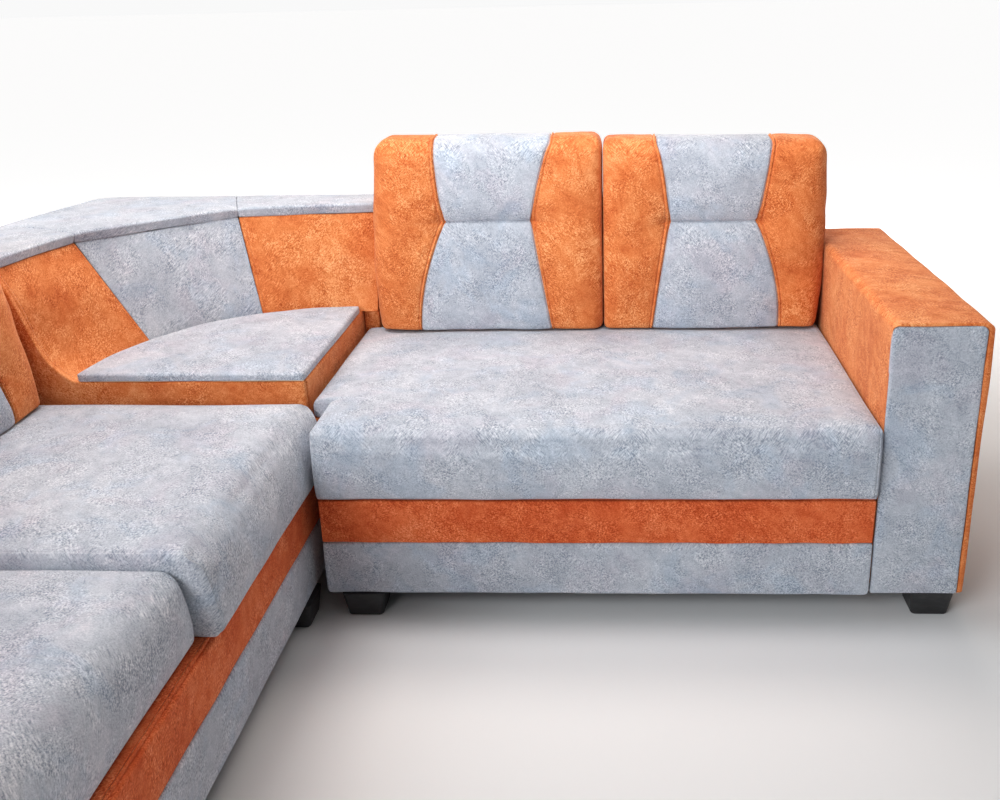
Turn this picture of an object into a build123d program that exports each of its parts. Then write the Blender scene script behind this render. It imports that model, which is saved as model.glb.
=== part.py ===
from build123d import *
import math
import os

# Corner sofa: a two-seater with a bench seat, a corner unit with a lift-off
# quarter-round lid, and a left wing with two seats. Millimetres, +Z up.
# The datum for the numbers below is the foot of the right arm's inner front
# corner; DX and DY move it so that the origin is under the middle of the box.

# ---------------------------------------------------------------- dimensions
DX, DY = 924.0, 237.0          # datum to origin
ARM_W = 195.0                  # arm width
ARM_H = 660.0                  # arm height
DEPTH = 845.0                  # arm front to outer back
GROUND = 58.0                  # underside of the bases
BAND_Z = 180.0                 # plinth band / base band joint
SEAT_Z0 = 287.5                # seat underside
SEAT_Z1 = 449.0                # seat top
SEAT_FRONT = -32.0             # seat front, ahead of the arm
BASE_FRONT = -8.0              # base front, ahead of the arm
SKIN = 14.0                    # upholstered panel thickness
PLY = 18.0                     # frame board thickness
BACK_IN = 742.0                # front of the back at seat level
BACK_KNEE = 452.0              # height where the back starts to lean
BACK_TOP = 741.0               # top of the back under its cap
LEDGE_Z = 768.0                # top of the shelf cap
LEAN = 30.0                    # lean of the back over its height
CUSH_FRONT = 587.0             # back cushion front at the seat
CUSH_FRONT_L = 560.0           # the left wing's cushions are thicker
CUSH_BACK = 740.0
CUSH_Z0 = 452.0
CUSH_Z1 = 936.0
SEAT_BACK = 738.0

R_SEAT = 1158.0                # right module: seat run
R_GAP = 45.5                   # end filler between the seat run and the corner
TONGUE_Z = 402.0               # underside of the seat's edge over that filler
SHELF_X = -1162.0              # right end of the corner's shelf back
L_FRONT = -1198.0              # left wing: plane of the arm front
L_SEAT_A = 630.0               # left wing: inner seat
L_SEAT_B = 626.0               # left wing: outer seat
L_RUN = L_SEAT_A + L_SEAT_B + 8.0
SEAT_B_DROP = 20.0             # outer seat is lower
SEAT_B_BACK = 38.0             # and set back

FOOT_TOP, FOOT_BOT = 92.0, 76.0
SCREW_R = 4.0
CLR = 0.5

# corner unit, plan points in the datum frame
CX, CY = -1205.0, 143.0        # lid corner (right face, front face)
XO, YO = L_FRONT - DEPTH, 845.0        # outer left and outer back
TAPER = (-1968.0, 406.0)       # outer left side slants between these two
LID_R = 505.0
DECK_Z = 489.0
LID_T = 20.0
SEAM_BOT = (28.2, 60.8)        # angles of the backrest seams at the deck
BACK_R = 516.0                 # backrest foot radius round the lid corner
EDGE = [(SHELF_X, 712.0), (-1509.0, 671.0), (-1797.0, 400.0), (-1842.0, 144.0)]


# ------------------------------------------------------------------- helpers
def blk(a0, a1, b0, b1, z0, z1):
    return Pos((a0 + a1) / 2, (b0 + b1) / 2, (z0 + z1) / 2) * Box(a1 - a0, b1 - b0, z1 - z0)


def rblk(a0, a1, b0, b1, z0, z1, r):
    b = blk(a0, a1, b0, b1, z0, z1)
    return fillet(b.edges(), r)


def profile(pts, s0, s1):
    # polygon in (depth, height) drawn out along the run
    f = make_face(Polyline(*[(0, d, z) for d, z in pts], close=True))
    return Pos(s0, 0, 0) * extrude(f, amount=s1 - s0, dir=(1, 0, 0))


def plan(pts, z0, z1):
    f = make_face(Polyline(*[(x, y, 0) for x, y in pts], close=True))
    return Pos(0, 0, z0) * extrude(f, amount=z1 - z0, dir=(0, 0, 1))


def post(x, y, r, z0, z1):
    return Pos(x, y, (z0 + z1) / 2) * Cylinder(r, z1 - z0)


def to_right(p):
    return Pos(-R_SEAT + DX, DY, 0) * p


def to_left(p):
    q = mirror(Rot(0, 0, 90) * p, about=Plane.XZ)
    return Pos(L_FRONT + DX, 140.0 + DY, 0) * q


def to_world(p):
    return Pos(DX, DY, 0) * p


OUT = {}


def add(name, items, place):
    if not isinstance(items, (list, tuple)):
        items = [items]
    solids = OUT.setdefault(name, [])
    for it in items:
        solids += list(place(it).solids())


def foot(x, y):
    lo = Pos(x, y, 0) * Rectangle(FOOT_BOT, FOOT_BOT)
    hi = Pos(x, y, GROUND - 0.3) * Rectangle(FOOT_TOP, FOOT_TOP)
    b = loft([lo, hi], ruled=True)
    b = fillet(b.edges().filter_by(lambda e: abs(e.tangent_at(0.5).Z) > 0.5), 10)
    b = fillet(b.edges().group_by(Axis.Z)[0], 4)
    b -= post(x, y, SCREW_R + 0.3, -1, GROUND + 1)
    b -= post(x, y, 9.0, -1, 22.0)
    return b


def screw(x, y, z0, z1):
    return post(x, y, SCREW_R, z0, z1) + post(x, y, 7.5, z0 - 4.0, z0)


# ---------------------------------------------------------- one wing (s, d, z)
def wing(tag, run, feet_s, foot_d, arm_foot, cuts, place):
    s0, s1 = 0.0, run
    back0 = SHELF_X + R_SEAT + 1.0 if tag == "right" else 0.0
    feet = [(feet_s, foot_d), (feet_s, 788.0)]
    arm_feet = [(run + arm_foot, 48.0), (run + arm_foot, 788.0)]

    # base frame: front, back, two ends and a middle board
    rails = [blk(s0 + 9, s1 - 3, 6.5, 6.5 + PLY, GROUND + 1.6, SEAT_Z0 - 4.5),
             blk(s0 + 9, s1 - 3, 716, 716 + PLY, GROUND + 1.6, SEAT_Z0 - 4.5)]
    for a in (s0 + 9, run / 2 - PLY / 2, s1 - 3 - PLY):
        rails.append(blk(a, a + PLY, 6.7 + PLY, 715.8, GROUND + 1.6, SEAT_Z0 - 4.5))

    # glue blocks that take the feet
    blocks = []
    for s, d in feet[:1] + [(run - 72.0, 60.0), (run - 72.0, 680.0), (s0 + 60.0, 680.0)]:
        b = blk(s - 30, s + 30, max(d - 30, 25.0), max(d - 30, 25.0) + 60, GROUND + 1.6, 121)
        if (s, d) in feet:
            b -= post(s, d, SCREW_R + 0.1, 40, 122)
        blocks.append(b)
    add(tag + "_base_frame", rails + blocks, place)

    # elastic webbing over the frame
    n = 9
    straps = []
    for i in range(n):
        c = s0 + 70 + (run - 140) * i / (n - 1)
        straps.append(blk(c - 30, c + 30, 6.5, 734, SEAT_Z0 - 4.2, SEAT_Z0 - 1.9))
    add(tag + "_webbing", straps, place)

    # upholstered base front in two bands, rounded at the lower corners
    add(tag + "_base_band", rblk(s0 + 1, s1 - 3, BASE_FRONT, BASE_FRONT + SKIN, BAND_Z + 0.4, SEAT_Z0 - 1.0, 3), place)
    pl = blk(s0 + 1, s1 - 3, BASE_FRONT, BASE_FRONT + SKIN, GROUND, BAND_Z)
    low = pl.edges().filter_by(Axis.Y).group_by(Axis.Z)[0]
    pl = fillet(low, 14)
    add(tag + "_plinth_band", pl, place)

    add(tag + "_end_cover", blk(s0 + 1, s0 + 8.5, 6.5, 741.0, GROUND + 1.6, SEAT_Z0 - 1.0), place)

    # seats
    for name, a, b, drop, setb in cuts:
        z1 = SEAT_Z1 - drop
        f = SEAT_FRONT + setb
        st = blk(a, b, f, SEAT_BACK, SEAT_Z0, z1)
        top_front = st.edges().filter_by(Axis.X).group_by(Axis.Z)[-1].sort_by(Axis.Y)[0]
        st = fillet(top_front, 38)
        st = fillet(st.edges().filter_by(Axis.X).group_by(Axis.Z)[0].sort_by(Axis.Y)[0], 14)
        if tag == "right":
            # behind the left wing the bench seat reaches over the end filler
            edge = blk(-R_GAP + 4.5, a + 2.0, 147.0, 660.0, TONGUE_Z, z1)
            edge = fillet(edge.edges().filter_by(Axis.Y).group_by(Axis.Z)[-1].sort_by(Axis.X)[0], 14)
            st = st + edge
        add(name, st, place)

    # arm: orange cover over a board frame, with a grey front panel let in
    a0, a1 = run, run + ARM_W
    cov = blk(a0 + 0.5, a1, 0, DEPTH, GROUND, ARM_H)
    cov = fillet(cov.edges().filter_by(Axis.Y).group_by(Axis.Z)[-1], 16)
    cov -= blk(a0 + SKIN, a1 - SKIN, 14.5, DEPTH - SKIN, GROUND - 1, ARM_H - 20)
    cov -= blk(a0 - 5, a1 - 13.5, -5, 14.5, GROUND - 1, ARM_H - 8.5)
    add(tag + "_arm_cover", cov, place)
    fr = blk(a0 + 1.0, a1 - 14.0, 0, 14.0, GROUND, ARM_H - 9.0)
    fr = fillet(fr.edges().filter_by(Axis.Y).group_by(Axis.Z)[-1], 12)
    add(tag + "_arm_front", fr, place)
    i0, i1 = a0 + SKIN + CLR, a1 - SKIN - CLR
    bottom = blk(i0, i1, 30.0, 815.0, GROUND + 1.6, 84)
    for s, d in arm_feet:
        bottom -= post(s, d, SCREW_R + 0.1, 40, 90)
    add(tag + "_arm_frame", [blk(i0, i1, 15, 29.8, GROUND + 1.6, 639), blk(i0, i1, 815.2, 830, GROUND + 1.6, 639), bottom,
                             blk(i0, i1, 30.0, 815.0, 622, 639), blk(i0, i1, 415, 433, 84.2, 621.8)], place)

    # back: leaning padded front, posts and rails, outer cover, cap, end panel
    lean = lambda z: LEAN * (z - BACK_KNEE) / (BACK_TOP - BACK_KNEE)
    e0, e1 = back0, run - 1.0
    add(tag + "_back_pad", profile([(BACK_IN, SEAT_Z0), (BACK_IN, BACK_KNEE), (BACK_IN + LEAN, BACK_TOP),
                                    (BACK_IN + LEAN + 12, BACK_TOP), (BACK_IN + 12, BACK_KNEE), (BACK_IN + 12, SEAT_Z0)],
                                   e0 + 12.5, e1 - 12.5), place)
    pp = [(755, GROUND + 1.6), (755, BACK_KNEE), (755 + LEAN, BACK_TOP - 0.5), (832, BACK_TOP - 0.5), (832, GROUND + 1.6)]
    frame = []
    posts = [e0 + 13, (e0 + e1) / 2 - 15, e1 - 43]
    for a in posts:
        p = profile(pp, a, a + 30)
        for s, d in feet:
            if a < s < a + 30:
                p -= post(s, d, SCREW_R + 0.1, 40, 122)
        frame.append(p)
    for a, b in ((posts[0] + 30.2, posts[1] - 0.2), (posts[1] + 30.2, posts[2] - 0.2)):
        frame.append(blk(a, b, 787, 831, 700, BACK_TOP - 0.5))
        frame.append(blk(a, b, 757, 831, 300, 345))
        foot_rail = blk(a, b, 757, 831, GROUND + 1.6, 100)
        for s, d in feet:
            foot_rail -= post(s, d, SCREW_R + 0.1, 40, 122)
        frame.append(foot_rail)
    add(tag + "_back_frame", frame, place)
    add(tag + "_outer_back", blk(e0, run - 0.5, 832.5, DEPTH, GROUND, BACK_TOP), place)
    add(tag + "_back_end", profile([(BACK_IN, SEAT_Z0), (BACK_IN, BACK_KNEE), (BACK_IN + LEAN, BACK_TOP), (832, BACK_TOP),
                                    (832, SEAT_Z0)], e1 - 12, e1), place)
    cap = blk(e0, run - 1.0, 775.5, DEPTH, BACK_TOP + CLR, LEDGE_Z)
    cap = fillet(cap.edges().filter_by(Axis.X).group_by(Axis.Z)[-1], 9)
    add(tag + "_back_cap", cap, place)

    # dust covers, feet and their screws
    dust = blk(s0 + 5, s1 - 5, 8, 828, GROUND + 0.1, GROUND + 1.3)
    dust_arm = blk(a0 + SKIN + 1, a1 - SKIN - 1, 16, 829, GROUND + 0.1, GROUND + 1.3)
    for s, d in feet:
        dust -= post(s, d, SCREW_R + 1.0, GROUND - 1, GROUND + 3)
    for s, d in arm_feet:
        dust_arm -= post(s, d, SCREW_R + 1.0, GROUND - 1, GROUND + 3)
    add("dust_covers", [dust, dust_arm], place)
    add("feet", [foot(s, d) for s, d in feet + arm_feet], place)
    add("foot_screws", [screw(s, d, 22.0, 80.0) for s, d in feet + arm_feet], place)


def cushion(a, b, front=CUSH_FRONT):
    k = LEAN / (BACK_TOP - BACK_KNEE)
    up = k * (CUSH_Z1 - CUSH_Z0)
    c = profile([(front, CUSH_Z0), (CUSH_BACK, CUSH_Z0), (CUSH_BACK + up, CUSH_Z1), (front + up, CUSH_Z1)], a, b)
    c = fillet(c.edges().filter_by(lambda e: abs(e.tangent_at(0.5).Z) > 0.5), 30)
    c = fillet(c.edges().group_by(Axis.Z)[-1], 30)
    return c


wing("right", R_SEAT, 78.0, 34.0, 134.0, [("right_bench_seat", 1.0, R_SEAT - 1.0, 0.0, 0.0)], to_right)
add("right_cushion_inner", cushion(-1.0, 590.5), to_right)
add("right_cushion_outer", cushion(593.5, R_SEAT - 1.0), to_right)
# filler that closes the end of the two-seater against the corner unit, with
# a raised part at the back that closes the space under the shelf back
add("right_end_filler", rblk(-R_GAP, 0.0, 147.0, 741.0, GROUND, TONGUE_Z - 2.0, 6) + blk(-R_GAP, -3.0, 664.0, 740.5, 380.0, DECK_Z - 1.0), to_right)
add("right_back_gable", profile([(BACK_IN, GROUND + 2), (BACK_IN, BACK_KNEE), (BACK_IN + LEAN, BACK_TOP), (832, BACK_TOP), (832, GROUND + 2)],
                                SHELF_X + R_SEAT + 1.0, SHELF_X + R_SEAT + 13.0), to_right)

wing("left", L_RUN, 154.0, 29.3, 134.0, [("left_seat_inner", 1.0, L_SEAT_A, 0.0, 0.0),
                                   ("left_seat_outer", L_SEAT_A + 4.0, L_RUN - 1.0, SEAT_B_DROP, SEAT_B_BACK)], to_left)
add("left_cushion_inner", cushion(4.0, L_SEAT_A - 2.0, CUSH_FRONT_L), to_left)
add("left_cushion_outer", cushion(L_SEAT_A + 2.0, L_RUN - 4.0, CUSH_FRONT_L), to_left)


# --------------------------------------------------------------- corner unit
def ang(theta, r):
    t = math.radians(theta)
    return (CX - r * math.sin(t), CY + r * math.cos(t))


def shift(p, q, off):
    # the line p-q moved outwards (away from the lid corner) by off
    dx, dy = q[0] - p[0], q[1] - p[1]
    n = math.hypot(dx, dy)
    nx, ny = dy / n, -dx / n
    if (p[0] - CX) * nx + (p[1] - CY) * ny < 0:
        nx, ny = -nx, -ny
    return (p[0] + off * nx, p[1] + off * ny), (q[0] + off * nx, q[1] + off * ny)


def meet(l1, l2):
    (x1, y1), (x2, y2) = l1
    (x3, y3), (x4, y4) = l2
    den = (x1 - x2) * (y3 - y4) - (y1 - y2) * (x3 - x4)
    a, b = x1 * y2 - y1 * x2, x3 * y4 - y3 * x4
    return ((a * (x3 - x4) - (x1 - x2) * b) / den, (a * (y3 - y4) - (y1 - y2) * b) / den)


def offset_edge(off):
    segs = [shift(EDGE[i], EDGE[i + 1], off) for i in range(3)]
    first = meet(segs[0], ((SHELF_X, 0), (SHELF_X, 100)))
    last = meet(segs[2], ((0, CY + 1), (-100, CY + 1)))
    return [first, meet(segs[0], segs[1]), meet(segs[1], segs[2]), last]


front_line = offset_edge(5.0)      # backrest surface under the shelf lip
rear_line = offset_edge(34.0)      # back of the backrest panels
thetas = [0.0, SEAM_BOT[0], SEAM_BOT[1], 90.0]
foot_line = [(SHELF_X, CY + BACK_R), ang(SEAM_BOT[0], BACK_R), ang(SEAM_BOT[1], BACK_R), (CX - BACK_R, CY + 1)]
COVE = (0.30, 0.222, 0.222, 0.44)  # how far each seam has leaned back at MID_Z
mid_line = [(f[0] + k * (t[0] - f[0]), f[1] + k * (t[1] - f[1])) for f, t, k in zip(foot_line, front_line, COVE)]
MID_Z = 545.0


def section(p, q, rq, rp, z):
    return make_face(Polyline((p[0], p[1], z), (q[0], q[1], z), (rq[0], rq[1], z), (rp[0], rp[1], z), close=True))


def lerp(p, q, t):
    return (p[0] + t * (q[0] - p[0]), p[1] + t * (q[1] - p[1]))


panels = ["corner_backrest_right", "corner_backrest_centre", "corner_backrest_left"]
for i, nm in enumerate(panels):
    # a little air between neighbours
    g0 = 0.0 if i == 0 else 0.0008
    g1 = 0.0 if i == 2 else 0.0008
    secs = []
    for line, z in ((foot_line, DECK_Z + 0.3), (mid_line, MID_Z), (front_line, BACK_TOP)):
        p, q = lerp(line[i], line[i + 1], g0), lerp(line[i], line[i + 1], 1 - g1)
        rp, rq = lerp(rear_line[i], rear_line[i + 1], g0), lerp(rear_line[i], rear_line[i + 1], 1 - g1)
        secs.append(section(p, q, rq, rp, z))
    body = loft(secs[:2], ruled=True) + loft(secs[1:], ruled=True)
    # the foot follows the round of the lid
    body -= Pos(CX, CY, DECK_Z + 31) * Cylinder(BACK_R - 4, 64)
    add(nm, body, to_world)

# grey shelf caps in three mitred lengths
A, B = EDGE[1], EDGE[2]
A2, B2 = (-1576.0, YO), (-2028.5, 494.0)
corner_round = [(-1940.0, YO), (-1958.0, 838.0), (-1968.5, 822.0)]
caps = {
    "corner_cap_right": [EDGE[0], (SHELF_X, YO), (A2[0] + 0.3, YO), (A[0] + 0.3, A[1])],
    "corner_cap_centre": [(A[0] - 0.3, A[1] - 0.2), (A2[0] - 0.3, YO)] + corner_round + [(B2[0] + 0.1, B2[1] + 0.4), (B[0] + 0.2, B[1] + 0.4)],
    "corner_cap_left": [B, B2, (XO, TAPER[1]), (XO, CY + 1), EDGE[3]],
}
for nm, pts in caps.items():
    c = plan(pts, BACK_TOP + CLR, LEDGE_Z)
    c = fillet(c.edges().group_by(Axis.Z)[-1], 6)
    add(nm, c, to_world)

# outer covers
add("corner_outer_back", blk(-1955.0, SHELF_X, YO - 12, YO, GROUND, BACK_TOP), to_world)
ol = [(XO, CY), (XO, TAPER[1]), (-1971.0, 826.0), (-1958.0, 832.6), (-1960.0, 822.0), (XO + 12, TAPER[1] - 1), (XO + 12, CY)]
add("corner_outer_left", plan(ol, GROUND, BACK_TOP), to_world)

# orange panels that face the two wings
add("corner_front_panel", blk(XO + 12.5, CX, CY, CY + SKIN, GROUND, DECK_Z - 0.5), to_world)
add("corner_side_panel", blk(CX - SKIN, CX, CY + SKIN + CLR, YO - 12.5, GROUND, DECK_Z - 0.5), to_world)
# gable ends of the shelf back above the deck
g_left = plan([(-1850 - 28, CY), (XO + 12.5, CY), (XO + 12.5, CY + 11), (-1850 - 28, CY + 11)], DECK_Z, BACK_TOP - 0.5)
add("corner_gables", g_left, to_world)
g_right = plan([(SHELF_X, 750), (SHELF_X, YO - 12.5), (SHELF_X - 11, YO - 12.5), (SHELF_X - 11, 750)], DECK_Z, BACK_TOP - 0.5)
add("corner_gables", g_right, to_world)

# deck with a quarter-round opening into the storage bin
deck_pts = [(CX - SKIN - CLR, CY + SKIN + CLR), (CX - SKIN - CLR, YO - 13), (-1940.0, YO - 13), (XO + 16.0, TAPER[1] - 6), (XO + 16.0, CY + SKIN + CLR)]
RIM = 32.0
OPEN_R = 440.0
deck = plan(deck_pts, DECK_Z - 16, DECK_Z - 0.2)
quarter = Pos(CX - RIM, CY + RIM, DECK_Z - 8) * Cylinder(OPEN_R, 40)
quarter = quarter & blk(CX - RIM - 600, CX - RIM, CY + RIM, CY + RIM + 600, DECK_Z - 60, DECK_Z + 60)
deck -= quarter
add("corner_deck", deck, to_world)

# bin: floor and two board walls; the orange panels close the other two sides
BIN = 480.0
bx0, bx1 = CX - SKIN - CLR - BIN, CX - SKIN - CLR
by0, by1 = CY + SKIN + CLR, CY + SKIN + CLR + BIN
add("bin_floor", blk(bx0, bx1, by0, by1, 100, 112), to_world)
add("bin_wall_back", blk(bx0, bx1, by1 - 12, by1, 112.3, DECK_Z - 16.3), to_world)
add("bin_wall_left", blk(bx0, bx0 + 12, by0, by1 - 12.3, 112.3, DECK_Z - 16.3), to_world)

# lid: padded board with three locating blocks under it
def quarter_disc(r, inset, z0, z1):
    q = Pos(CX - inset, CY + inset, (z0 + z1) / 2) * Cylinder(r, z1 - z0)
    return q & blk(CX - inset - r - 1, CX - inset, CY + inset, CY + inset + r + 1, z0 - 1, z1 + 1)


LID_Z0 = DECK_Z + 0.3
add("lid_board", quarter_disc(LID_R - 8, 4.0, LID_Z0, LID_Z0 + 8), to_world)
pad = quarter_disc(LID_R, 0.5, LID_Z0 + 8.2, LID_Z0 + LID_T)
pad = fillet(pad.edges().group_by(Axis.Z)[-1], 5)
add("lid_pad", pad, to_world)
lb = [blk(CX - 330, CX - 230, CY + RIM + 2, CY + RIM + 18, DECK_Z - 13, LID_Z0 - 0.2),
      blk(CX - RIM - 18, CX - RIM - 2, CY + 230, CY + 330, DECK_Z - 13, LID_Z0 - 0.2)]
add("lid_locating_blocks", lb, to_world)

# timber inside the corner: floor rails, posts and the board under the shelf
cf = [blk(XO + 14, CX - SKIN - 1, CY + SKIN + 1, CY + SKIN + 1 + 40, GROUND + 1.6, 99.5),
      blk(XO + 100, CX - SKIN - 1, YO - 53, YO - 13, GROUND + 1.6, 99.5),
      blk(CX - SKIN - 41, CX - SKIN - 1, CY + SKIN + 42, YO - 54, GROUND + 1.6, 99.5),
      blk(XO + 80, XO + 120, CY + SKIN + 42, YO - 54, GROUND + 1.6, 99.5)]
corner_feet = [(CX - 48.0, CY + 72.0), (CX - 48.0, YO - 64.0), (XO + 106.0, YO - 76.0), (XO + 106.0, CY + 72.0)]
cfh = []
for r in cf:
    for x, y in corner_feet:
        r = r - post(x, y, SCREW_R + 0.1, 40, 105)
    cfh.append(r)
add("corner_frame", cfh, to_world)
posts = []
for x, y in ((CX - 75, YO - 55), (A2[0] - 20, YO - 55), (XO + 125, YO - 55), (XO + 45, 430.0), (XO + 45, CY + 60)):
    posts.append(blk(x - 20, x + 20, y - 20, y + 20, 100, DECK_Z - 16.4))
    posts.append(blk(x - 20, x + 20, y - 20, y + 20, DECK_Z, 724.0))
add("corner_frame", posts, to_world)
rl = offset_edge(36.0)
board = plan([(SHELF_X - 12, rl[0][1] + 2), rl[1], rl[2], (rl[3][0], CY + 12), (XO + 15, CY + 12), (XO + 15, TAPER[1] - 4), (-1944.0, 815.0), (-1940.0, YO - 13), (SHELF_X - 12, YO - 13)], 725.0, BACK_TOP - 0.3)
add("corner_shelf_board", board, to_world)

# underside, feet and screws of the corner
cd = plan([(CX - SKIN - 2, CY + SKIN + 2), (CX - SKIN - 2, YO - 14), (XO + 100, YO - 14), (XO + 16, TAPER[1] - 6), (XO + 16, CY + SKIN + 2)], GROUND + 0.1, GROUND + 1.3)
for x, y in corner_feet:
    cd -= post(x, y, SCREW_R + 1.0, GROUND - 1, GROUND + 3)
add("dust_covers", cd, to_world)
add("feet", [foot(x, y) for x, y in corner_feet], to_world)
add("foot_screws", [screw(x, y, 22.0, 96.0) for x, y in corner_feet], to_world)

# steel plates that tie the modules together, screwed up into the base boards
plates, ties = [], []
for (px, py, along, o1, o2) in ((CX + 25, 300.0, "x", -60.0, 40.0), (CX + 25, 640.0, "x", -60.0, 40.0),
                                (-1400.0, CY - 1.5, "y", -13.5, 36.5), (-1800.0, CY - 1.5, "y", -13.5, 36.5)):
    hx, hy = (75, 18) if along == "x" else (18, 55)
    p = blk(px - hx, px + hx, py - hy, py + hy, GROUND - 3.2, GROUND - 0.2)
    for o in (o1, o2):
        for j in (-10, 10):
            qx, qy = (px + o, py + j) if along == "x" else (px + j, py + o)
            p -= post(qx, qy, 2.6, 50, 62)
            ties.append(post(qx, qy, 2.2, GROUND - 4.0, 84.0) + post(qx, qy, 4.2, GROUND - 6.6, GROUND - 3.4))
    plates.append(p)
add("connector_plates", plates, to_world)
add("connector_screws", ties, to_world)

# ---------------------------------------------------------------------- write
os.makedirs("parts", exist_ok=True)
for name, solids in OUT.items():
    shape = solids[0] if len(solids) == 1 else Compound(label=name, children=solids)
    export_step(shape, os.path.join("parts", name + ".step"))
print(len(OUT), "nodes")
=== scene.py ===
import math

import bpy
import numpy as np
from mathutils import Matrix, Vector


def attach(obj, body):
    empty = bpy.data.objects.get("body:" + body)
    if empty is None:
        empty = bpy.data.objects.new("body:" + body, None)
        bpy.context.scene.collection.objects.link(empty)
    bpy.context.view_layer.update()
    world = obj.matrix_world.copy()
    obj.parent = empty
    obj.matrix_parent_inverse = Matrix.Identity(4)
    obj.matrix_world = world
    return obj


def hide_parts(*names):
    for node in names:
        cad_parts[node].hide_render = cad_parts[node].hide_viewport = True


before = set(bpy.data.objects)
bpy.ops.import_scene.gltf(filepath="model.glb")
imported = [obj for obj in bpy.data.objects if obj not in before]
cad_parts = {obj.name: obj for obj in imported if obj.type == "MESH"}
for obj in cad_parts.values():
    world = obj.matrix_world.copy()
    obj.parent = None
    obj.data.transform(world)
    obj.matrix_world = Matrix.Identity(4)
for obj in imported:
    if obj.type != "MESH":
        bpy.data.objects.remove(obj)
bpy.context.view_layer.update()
scene = bpy.context.scene
scene.view_settings.view_transform = "Standard"


# ------------------------------------------------- places (mm to metres in the frame)
def to_right(P):
    return np.stack([P[:, 0] - 234.0, P[:, 1] + 237.0, P[:, 2]], 1) / 1000.0


def to_left(P):
    return np.stack([-274.0 - P[:, 1], 377.0 - P[:, 0], P[:, 2]], 1) / 1000.0


def to_world(P):
    return np.stack([P[:, 0] + 924.0, P[:, 1] + 237.0, P[:, 2]], 1) / 1000.0


MIRRORED = (to_left,)

# ------------------------------------------------------------------------ materials


class Graph:
    """A material's nodes, with short calls for the textures that the finishes use."""

    def __init__(self, name):
        self.mat = bpy.data.materials.new(name)
        self.mat.use_nodes = True
        self.t = self.mat.node_tree
        self.t.nodes.clear()
        out = self.t.nodes.new("ShaderNodeOutputMaterial")
        self.bsdf = self.t.nodes.new("ShaderNodeBsdfPrincipled")
        self.link(self.bsdf.outputs[0], out.inputs[0])
        self.co = self.t.nodes.new("ShaderNodeTexCoord").outputs["Object"]

    def link(self, a, b):
        self.t.links.new(a, b)

    def put(self, value, socket):
        if isinstance(value, bpy.types.NodeSocket):
            self.link(value, socket)
        else:
            socket.default_value = value

    def set(self, **values):
        for k, v in values.items():
            self.bsdf.inputs[k.replace("_", " ")].default_value = v

    def map(self, vec, loc=(0, 0, 0), rot=(0, 0, 0), scale=(1, 1, 1)):
        n = self.t.nodes.new("ShaderNodeMapping")
        n.vector_type = "TEXTURE"
        n.inputs["Location"].default_value = loc
        n.inputs["Rotation"].default_value = rot
        n.inputs["Scale"].default_value = scale
        self.link(vec, n.inputs["Vector"])
        return n.outputs[0]

    def noise(self, vec, scale, detail=3.0, rough=0.55, distort=0.0, colour=False):
        n = self.t.nodes.new("ShaderNodeTexNoise")
        self.link(vec, n.inputs["Vector"])
        n.inputs["Scale"].default_value = scale
        n.inputs["Detail"].default_value = detail
        n.inputs["Roughness"].default_value = rough
        n.inputs["Distortion"].default_value = distort
        return n.outputs[1 if colour else 0]

    def cells(self, vec, scale, feature="DISTANCE_TO_EDGE"):
        n = self.t.nodes.new("ShaderNodeTexVoronoi")
        n.feature = feature
        self.link(vec, n.inputs["Vector"])
        n.inputs["Scale"].default_value = scale
        return n.outputs["Distance"]

    def wave(self, vec, scale, distort=0.0, detail=2.0, axis="X", profile="SIN"):
        n = self.t.nodes.new("ShaderNodeTexWave")
        n.wave_type = "BANDS"
        n.bands_direction = axis
        n.wave_profile = profile
        self.link(vec, n.inputs["Vector"])
        n.inputs["Scale"].default_value = scale
        n.inputs["Distortion"].default_value = distort
        n.inputs["Detail"].default_value = detail
        return n.outputs[1]

    def m(self, op, a, b=0.0, clamp=False):
        n = self.t.nodes.new("ShaderNodeMath")
        n.operation = op
        n.use_clamp = clamp
        self.put(a, n.inputs[0])
        self.put(b, n.inputs[1])
        return n.outputs[0]

    def total(self, *pairs):
        acc = None
        for weight, value in pairs:
            part = self.m("MULTIPLY", value, weight)
            acc = part if acc is None else self.m("ADD", acc, part)
        return acc

    def shift(self, vec, by, amount):
        """vec moved by a noise colour, so that straight features wander."""
        c = self.t.nodes.new("ShaderNodeVectorMath")
        c.operation = "MULTIPLY_ADD"
        self.link(by, c.inputs[0])
        c.inputs[1].default_value = (amount,) * 3
        self.link(vec, c.inputs[2])
        return c.outputs[0]

    def ramp(self, fac, stops, ease=False):
        n = self.t.nodes.new("ShaderNodeValToRGB")
        r = n.color_ramp
        r.interpolation = "EASE" if ease else "LINEAR"
        while len(r.elements) < len(stops):
            r.elements.new(0.5)
        for e, (p, c) in zip(r.elements, stops):
            e.position = p
            e.color = (c, c, c, 1) if isinstance(c, (int, float)) else (*c, 1)
        self.link(fac, n.inputs[0])
        return n.outputs[0]

    def mix(self, fac, a, b, blend="MIX"):
        n = self.t.nodes.new("ShaderNodeMix")
        n.data_type = "RGBA"
        n.blend_type = blend
        self.put(fac, n.inputs[0])
        for v, s in ((a, n.inputs[6]), (b, n.inputs[7])):
            self.put((*v, 1) if isinstance(v, tuple) else v, s)
        return n.outputs[2]

    def bump(self, height, strength, distance, under=None):
        n = self.t.nodes.new("ShaderNodeBump")
        n.inputs["Strength"].default_value = strength
        n.inputs["Distance"].default_value = distance
        self.link(height, n.inputs["Height"])
        if under is not None:
            self.link(under, n.inputs["Normal"])
        return n.outputs[0]

    def done(self, colour=None, rough=None, normal=None):
        for v, k in ((colour, "Base Color"), (rough, "Roughness"), (normal, "Normal")):
            if v is not None:
                self.link(v, self.bsdf.inputs[k])
        return self.mat


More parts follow.
